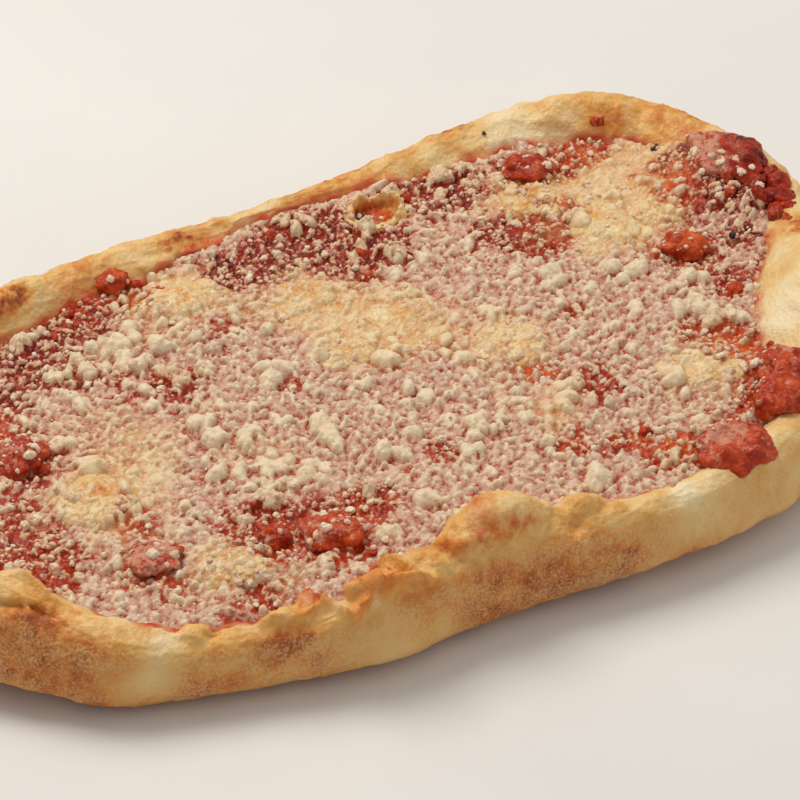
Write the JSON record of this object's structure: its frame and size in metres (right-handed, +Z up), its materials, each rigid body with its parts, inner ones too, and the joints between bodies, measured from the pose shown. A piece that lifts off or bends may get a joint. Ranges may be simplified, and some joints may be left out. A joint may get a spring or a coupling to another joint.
{
  "type": "cheese pizza",
  "caption": "Small oval cheese pizza: a risen, blistered flatbread crust round tomato sauce, tomato pieces, melted cheese and grated cheese. It lies flat and is uncut.",
  "frame": {"origin": "middle of the bounding box's underside, where the pizza rests", "axes": "+X along the long side, +Z up, -Y towards the side that the picture shows nearest"},
  "size_m": [0.2233, 0.1333, 0.0251],
  "materials": {
    "baked_dough": "baked wheat dough, floury at the sides and toasted on the bubbles",
    "tomato_with_cheese": "cooked tomato sauce under finely grated hard cheese",
    "melted_mozzarella": "melted soft cheese with toasted spots",
    "cooked_tomato": "wet cooked tomato flesh"
  },
  "bodies": {
    "root": {"crust": "baked_dough", "tomato_sauce": "tomato_with_cheese", "melted_cheese_01": "melted_mozzarella", "melted_cheese_02": "melted_mozzarella", "melted_cheese_03": "melted_mozzarella", "melted_cheese_04": "melted_mozzarella", "melted_cheese_05": "melted_mozzarella", "melted_cheese_06": "melted_mozzarella", "melted_cheese_07": "melted_mozzarella", "melted_cheese_08": "melted_mozzarella", "melted_cheese_09": "melted_mozzarella", "melted_cheese_10": "melted_mozzarella", "melted_cheese_11": "melted_mozzarella", "tomato_piece_01": "cooked_tomato", "tomato_piece_02": "cooked_tomato", "tomato_piece_03": "cooked_tomato", "tomato_piece_04": "cooked_tomato", "tomato_piece_05": "cooked_tomato", "tomato_piece_06": "cooked_tomato", "tomato_piece_07": "cooked_tomato", "tomato_piece_08": "cooked_tomato", "tomato_piece_09": "cooked_tomato", "tomato_piece_10": "cooked_tomato", "tomato_piece_11": "cooked_tomato"}
  },
  "joints": []
}
